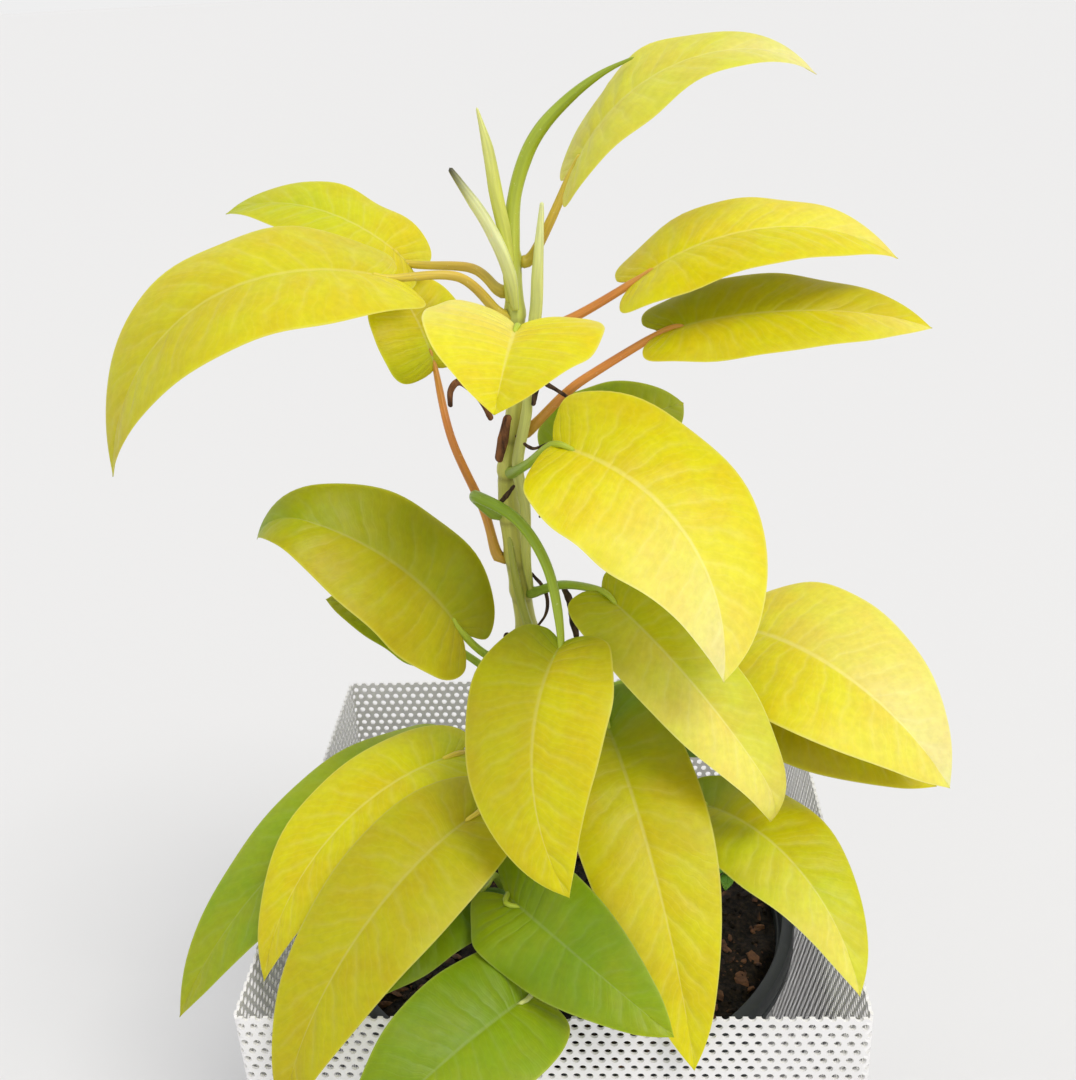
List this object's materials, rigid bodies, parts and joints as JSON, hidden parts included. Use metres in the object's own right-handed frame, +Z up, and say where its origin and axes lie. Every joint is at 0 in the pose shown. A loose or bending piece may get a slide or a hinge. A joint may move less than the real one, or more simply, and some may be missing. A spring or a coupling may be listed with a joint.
{
  "type": "potted philodendron",
  "caption": "Upright leafy philodendron with yellow-green heart-shaped leaves on thin stalks, in a round nursery pot inside a square perforated sheet-metal planter.",
  "frame": {"origin": "middle of the planter's flat underside", "axes": "+Z up along the plant, -Y the front that is seen, +X to the right seen from the front"},
  "size_m": [0.321, 0.295, 0.5859],
  "materials": {
    "planter": "satin",
    "pot": "satin",
    "potting_mix": "matte",
    "stem": "satin",
    "leaf": "satin",
    "new_growth": "satin",
    "dry_sheath": "matte",
    "root": "matte",
    "seedling": "satin"
  },
  "bodies": {
    "root": {"planter": "planter", "nursery_pot": "pot", "potting_mix": "potting_mix", "stem_main": "stem", "stem_right": "stem", "stem_left": "stem", "leaf_01": "leaf", "leaf_02": "leaf", "leaf_03": "leaf", "leaf_04": "leaf", "leaf_05": "leaf", "leaf_06": "leaf", "leaf_07": "leaf", "leaf_08": "leaf", "leaf_09": "leaf", "leaf_10": "leaf", "leaf_11": "leaf", "leaf_12": "leaf", "leaf_13": "leaf", "leaf_14": "leaf", "leaf_16": "leaf", "leaf_17": "leaf", "leaf_18": "leaf", "leaf_19": "leaf", "leaf_20": "leaf", "leaf_21": "leaf", "leaf_24": "leaf", "leaf_25": "leaf", "leaf_26": "leaf", "leaf_27": "leaf", "new_leaf_rolled": "new_growth", "new_leaf_spear": "new_growth", "sheath_left": "new_growth", "sheath_right": "new_growth", "sheath_middle": "dry_sheath", "dried_sheath": "dry_sheath", "aerial_root_1": "root", "aerial_root_2": "root", "aerial_root_3": "root", "aerial_root_4": "root", "seedling_right": "seedling", "seedling_left": "seedling"}
  },
  "joints": []
}
